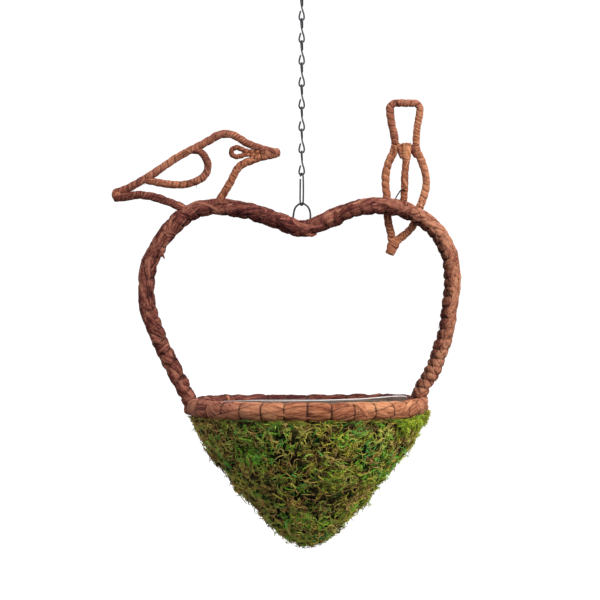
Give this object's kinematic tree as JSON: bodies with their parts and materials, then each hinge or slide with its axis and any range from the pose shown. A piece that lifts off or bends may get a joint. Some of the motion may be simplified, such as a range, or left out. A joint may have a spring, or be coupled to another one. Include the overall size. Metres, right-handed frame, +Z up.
{
  "type": "hanging basket",
  "caption": "Cone-shaped moss hanging basket in a bark-wrapped heart frame with two wire birds, hung on a jack chain with an S-hook.",
  "frame": {"origin": "the seat inside the top crook of the S-hook, where the basket is hung up", "axes": "+Z up, +X to the viewer's right in the heart frame's plane, +Y away from the viewer"},
  "size_m": [0.4377, 0.3056, 0.7535],
  "materials": {
    "chain_steel": "satin",
    "rod_steel": "matte",
    "frame_bark": "matte",
    "rim_bark": "matte",
    "bird_bark": "matte",
    "tie_wire": "matte",
    "moss": "matte",
    "film": "gloss"
  },
  "bodies": {
    "s_hook": {"s_hook": "chain_steel"},
    "chain_link_1": {"chain_link_1": "chain_steel"},
    "chain_link_2": {"chain_link_2": "chain_steel"},
    "chain_link_3": {"chain_link_3": "chain_steel"},
    "chain_link_4": {"chain_link_4": "chain_steel"},
    "chain_link_5": {"chain_link_5": "chain_steel"},
    "chain_link_6": {"chain_link_6": "chain_steel"},
    "chain_link_7": {"chain_link_7": "chain_steel"},
    "chain_link_8": {"chain_link_8": "chain_steel"},
    "chain_link_9": {"chain_link_9": "chain_steel"},
    "connecting_link": {"connecting_link": "chain_steel"},
    "basket": {"hanger_loop": "chain_steel", "heart_frame_rod": "rod_steel", "frame_wrap_1": "frame_bark", "frame_wrap_2": "frame_bark", "frame_wrap_3": "frame_bark", "frame_wrap_4": "frame_bark", "frame_wrap_5": "frame_bark", "frame_wrap_6": "frame_bark", "frame_wrap_7": "frame_bark", "frame_wrap_8": "frame_bark", "rim_hoop": "rod_steel", "rim_wrap_back_right": "rim_bark", "rim_wrap_back_left": "rim_bark", "rim_wrap_front_left": "rim_bark", "rim_wrap_front_right": "rim_bark", "rim_lashing_front": "tie_wire", "rim_lashing_back": "tie_wire", "cage_rib_1": "rod_steel", "cage_rib_2": "rod_steel", "cage_rib_3": "rod_steel", "cage_rib_4": "rod_steel", "cage_rib_5": "rod_steel", "cage_rib_6": "rod_steel", "cage_rib_7": "rod_steel", "cage_rib_8": "rod_steel", "cage_hoop_upper": "rod_steel", "cage_hoop_lower": "rod_steel", "moss_cover": "moss", "plastic_liner": "film", "left_bird_rod": "rod_steel", "left_bird_wing_rod": "rod_steel", "left_bird_eye_rod": "rod_steel", "left_bird_back_wrap": "bird_bark", "left_bird_chest_wrap": "bird_bark", "left_bird_tail_wrap": "bird_bark", "left_bird_tail_tip": "bird_bark", "left_bird_wing_wrap": "bird_bark", "left_bird_eye_wrap": "bird_bark", "left_bird_beak": "bird_bark", "right_bird_rod": "rod_steel", "right_bird_centre_rod": "rod_steel", "right_bird_tail_wrap": "bird_bark", "right_bird_left_wrap": "bird_bark", "right_bird_right_wrap": "bird_bark", "right_bird_centre_wrap": "bird_bark", "right_bird_waist_wrap": "bird_bark", "right_bird_beak": "bird_bark", "bird_tie_left": "tie_wire", "bird_tie_right": "tie_wire"}
  },
  "joints": [
    {"name": "link_1_swing", "type": "hinge", "parent": "s_hook", "child": "chain_link_1", "pos_m": [0, 0, -0.0375], "axis": [1, 0, 0], "range_deg": [-30, 30]},
    {"name": "link_2_swing", "type": "hinge", "parent": "chain_link_1", "child": "chain_link_2", "pos_m": [0, 0, -0.06235], "axis": [-0.309, 0.9511, 0], "range_deg": [-30, 30]},
    {"name": "link_3_swing", "type": "hinge", "parent": "chain_link_2", "child": "chain_link_3", "pos_m": [0, 0, -0.09215], "axis": [-0.9511, -0.309, 0], "range_deg": [-30, 30]},
    {"name": "link_4_swing", "type": "hinge", "parent": "chain_link_3", "child": "chain_link_4", "pos_m": [0, 0, -0.11755], "axis": [0.2419, -0.9703, 0], "range_deg": [-30, 30]},
    {"name": "link_5_swing", "type": "hinge", "parent": "chain_link_4", "child": "chain_link_5", "pos_m": [0, 0, -0.14735], "axis": [0.9703, 0.2419, 0], "range_deg": [-30, 30]},
    {"name": "link_6_swing", "type": "hinge", "parent": "chain_link_5", "child": "chain_link_6", "pos_m": [0, 0, -0.17275], "axis": [-0.1736, 0.9848, 0], "range_deg": [-30, 30]},
    {"name": "link_7_swing", "type": "hinge", "parent": "chain_link_6", "child": "chain_link_7", "pos_m": [0, 0, -0.20255], "axis": [-0.9848, -0.1736, 0], "range_deg": [-30, 30]},
    {"name": "link_8_swing", "type": "hinge", "parent": "chain_link_7", "child": "chain_link_8", "pos_m": [0, 0, -0.22795], "axis": [0.1045, -0.9945, 0], "range_deg": [-30, 30]},
    {"name": "link_9_swing", "type": "hinge", "parent": "chain_link_8", "child": "chain_link_9", "pos_m": [0, 0, -0.25775], "axis": [0.9945, 0.1045, 0], "range_deg": [-30, 30]},
    {"name": "basket_turn", "type": "hinge", "parent": "chain_link_9", "child": "connecting_link", "pos_m": [0, 0, -0.2832], "axis": [0, 0, 1], "range_deg": [-20, 6]},
    {"name": "basket_swing", "type": "hinge", "parent": "connecting_link", "child": "basket", "pos_m": [0, 0, -0.3207], "axis": [-1, 0, 0], "range_deg": [-20, 20]}
  ]
}
